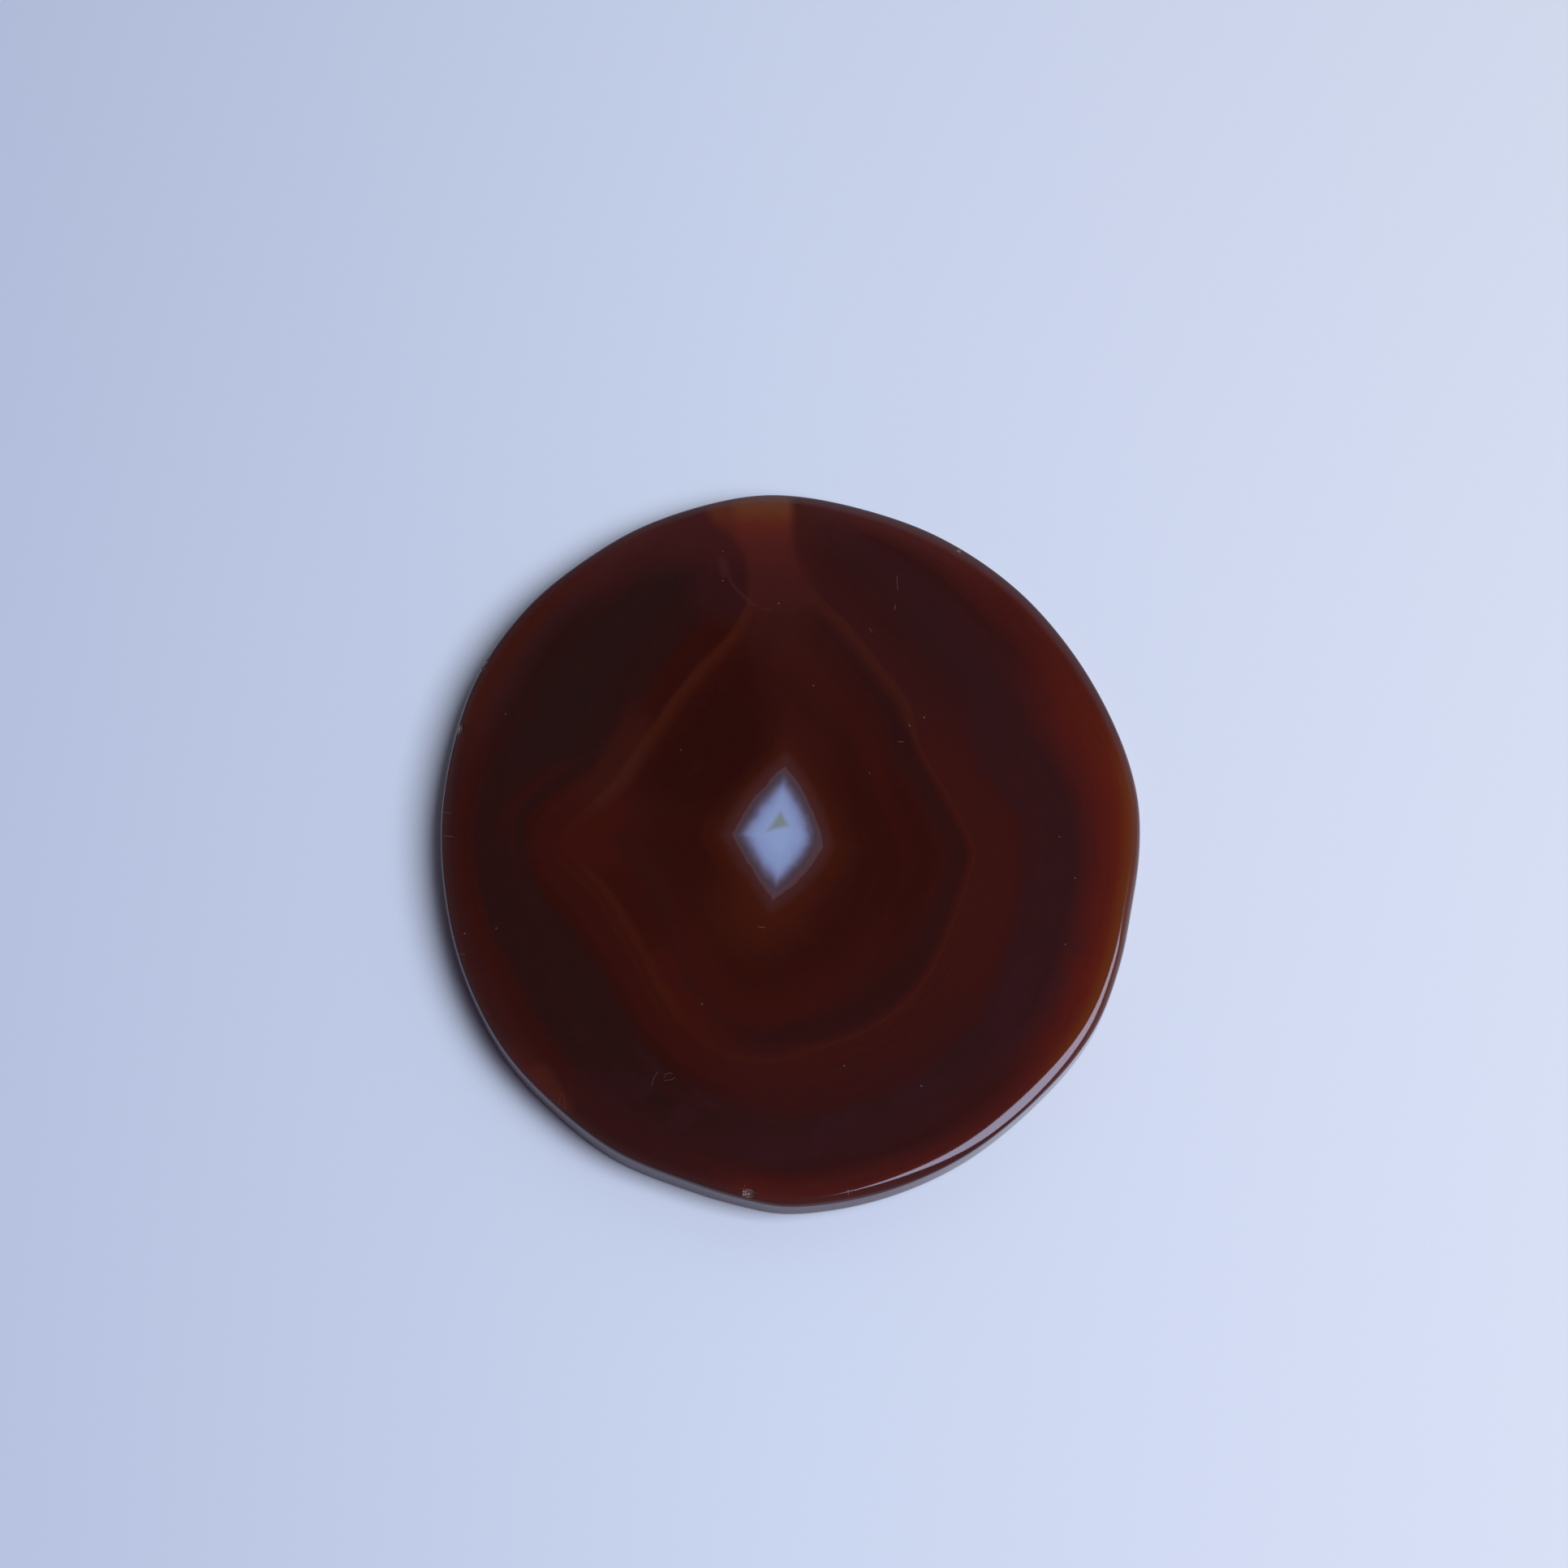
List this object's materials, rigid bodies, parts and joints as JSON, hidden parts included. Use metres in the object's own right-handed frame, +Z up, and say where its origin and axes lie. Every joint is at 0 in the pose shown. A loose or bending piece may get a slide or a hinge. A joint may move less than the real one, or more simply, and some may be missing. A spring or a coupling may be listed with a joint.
{
  "type": "agate slice",
  "caption": "Polished slice of dark banded agate with a wavy near-round outline, flat faces, softly rounded edges and small edge flakes, lying flat.",
  "frame": {"origin": "on the lower face, at the middle of the slice's outline box", "axes": "+Z up through the thickness, out of the polished face; +Y along the slice's longer width, towards the side where the infiltration channel meets the rim; +X to the right of it"},
  "size_m": [0.09, 0.0946, 0.006],
  "materials": {
    "polished_agate": "polished, faintly see-through at the edge, banded in dark violet brown, rust red and orange round a pale blue diamond"
  },
  "bodies": {
    "root": {"agate_slice": "polished_agate"}
  },
  "joints": []
}
